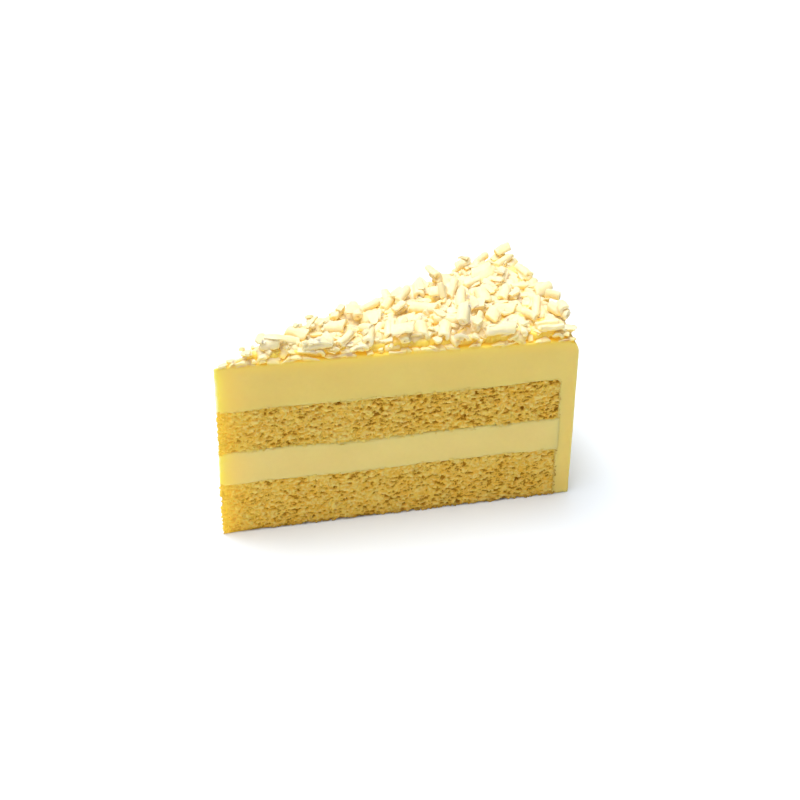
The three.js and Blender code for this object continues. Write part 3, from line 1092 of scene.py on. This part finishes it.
def make_world():
    """A little light from all round, with pure white behind the slice."""
    world = bpy.data.worlds.new("studio")
    world.use_nodes = True
    tree = world.node_tree
    background = tree.nodes["Background"]
    background.inputs["Color"].default_value = (1, 1, 1, 1)
    seen = add(tree, "LightPath").outputs["Is Camera Ray"]
    ambient = bpy.context.scene.cake_stage.ambient
    strength = add(tree, "MapRange", {"To Min": ambient, "To Max": 1}, {"Value": seen})
    tree.links.new(strength.outputs["Result"], background.inputs["Strength"])
    bpy.context.scene.world = world


def make_camera():
    """The camera, placed by its distance and angles from the point that it looks at."""
    settings = bpy.context.scene.cake_stage
    level = math.cos(settings.elevation)
    away = Vector((math.sin(settings.azimuth) * level, -math.cos(settings.azimuth) * level,
                   math.sin(settings.elevation)))
    side = (-away).cross(UP).normalized()
    top = side.cross(-away)
    turn = Matrix.Rotation(settings.roll, 3, away)
    axes = Matrix((turn @ side, turn @ top, away)).transposed().to_4x4()
    lens = bpy.data.cameras.new("camera")
    lens.lens = settings.lens
    lens.clip_start = 10 * MM
    camera = bpy.data.objects.new("camera", lens)
    place = Vector(settings.aim) + away * settings.distance
    camera.matrix_world = Matrix.Translation(place) @ axes
    bpy.context.scene.collection.objects.link(camera)
    bpy.context.scene.camera = camera


# ---------------------------------------------------------------- operators


class CAKE_OT_stage(bpy.types.Operator):
    """Sets up the floor, the soft studio light and the camera"""

    bl_idname = "cake.stage"
    bl_label = "Stage"

    def execute(self, context):
        make_floor()
        make_world()
        for name, (place, width) in LAMPS.items():
            make_light(name, place, width, getattr(context.scene.cake_stage, name))
        make_camera()
        context.scene.view_settings.view_transform = "Standard"
        return {"FINISHED"}


class CAKE_OT_sponges(bpy.types.Operator):
    """Makes the two sponges with their open crumb"""

    bl_idname = "cake.sponges"
    bl_label = "Sponges"

    def execute(self, context):
        crumb = sponge_material()
        for node, (taller, baked) in SPONGES.items():
            finish_piece(make_sponge(node, taller, baked), [node], crumb)
        return {"FINISHED"}


class CAKE_OT_creams(bpy.types.Operator):
    """Makes the filling and the coat of cream"""

    bl_idname = "cake.creams"
    bl_label = "Creams"

    def execute(self, context):
        settings = context.scene.cake_cream
        finish_piece(make_filling(), ["filling_cream"],
                     cream_material("filling_cream", settings.filling_color, 0.96))
        finish_piece(make_coat(), ["cream_coat"],
                     cream_material("coat_cream", settings.coat_color, 0.95))
        return {"FINISHED"}


class CAKE_OT_curls(bpy.types.Operator):
    """Makes the large curls of white chocolate"""

    bl_idname = "cake.curls"
    bl_label = "Large Curls"

    def execute(self, context):
        chocolate = chocolate_material()
        cream = ground_tree([bpy.data.objects["coat"]])
        for node in CURLS:
            curl = make_curl(node)
            note_stain_and_shade(curl, cream, LOOSE_STAIN_AND_SHADE)
            finish_piece(curl, [node], chocolate)
        return {"FINISHED"}


class CAKE_OT_heap(bpy.types.Operator):
    """Makes the heap of fine shavings that the curls lie on"""

    bl_idname = "cake.heap"
    bl_label = "Heap of Shavings"

    def execute(self, context):
        heap = make_heap()
        note_stain_and_shade(heap, ground_tree([bpy.data.objects["coat"]]), HEAP_STAIN_AND_SHADE)
        finish_piece(heap, ["shavings_bed"], bpy.data.materials["shaved_chocolate"])
        return {"FINISHED"}


class CAKE_OT_flakes(bpy.types.Operator):
    """Drops the small flakes over the heap, and the last of them over the large curls"""

    bl_idname = "cake.flakes"
    bl_label = "Small Flakes"

    def execute(self, context):
        chocolate = bpy.data.materials["shaved_chocolate"]
        chance = random.Random(5)
        masters = {name: [make_flake(name, seed) for seed in range(SHAPES_OF_EACH)] for name in FLAKES}
        coat = bpy.data.objects["coat"]
        cream = ground_tree([coat])
        ground = [coat, bpy.data.objects["shavings_bed_heap"]]
        curls = [bpy.data.objects[name + "_shaving"] for name in CURLS]
        total = context.scene.cake_chocolate.flakes
        for number, drop in enumerate(DROPS, 1):
            over = ground_tree(ground + (curls if drop.on_curls else []))
            drift = drop_flakes(f"flake_drift_{number}", masters, over, round(total * drop.part),
                                chance, drop)
            note_stain_and_shade(drift, cream, LOOSE_STAIN_AND_SHADE)
            finish_piece(drift, [], chocolate)
            ground.append(drift)
        for shapes in masters.values():
            for flake in shapes:
                bpy.data.objects.remove(flake)
        return {"FINISHED"}


class CAKE_PT_panel(bpy.types.Panel):
    """Lists the steps that make the slice"""

    bl_idname = "CAKE_PT_panel"
    bl_label = "Cheesecake Slice"
    bl_space_type = "VIEW_3D"
    bl_region_type = "UI"
    bl_category = "Cake"

    def draw(self, context):
        for step in STEPS:
            self.layout.operator(step.bl_idname)


SETTINGS = {
    "cake_sponge": SpongeSettings,
    "cake_cream": CreamSettings,
    "cake_chocolate": ChocolateSettings,
    "cake_stage": StageSettings,
}
STEPS = (CAKE_OT_stage, CAKE_OT_sponges, CAKE_OT_creams, CAKE_OT_curls, CAKE_OT_heap, CAKE_OT_flakes)


def register():
    for group in SETTINGS.values():
        bpy.utils.register_class(group)
    for step in STEPS:
        bpy.utils.register_class(step)
    bpy.utils.register_class(CAKE_PT_panel)
    for name, group in SETTINGS.items():
        setattr(bpy.types.Scene, name, bpy.props.PointerProperty(type=group))


def unregister():
    for name in SETTINGS:
        delattr(bpy.types.Scene, name)
    bpy.utils.unregister_class(CAKE_PT_panel)
    for step in reversed(STEPS):
        bpy.utils.unregister_class(step)
    for group in reversed(list(SETTINGS.values())):
        bpy.utils.unregister_class(group)


def main():
    register()
    bpy.ops.cake.stage()
    bpy.ops.cake.sponges()
    bpy.ops.cake.creams()
    bpy.ops.cake.curls()
    bpy.ops.cake.heap()
    bpy.ops.cake.flakes()


if __name__ == "__main__":
    main()
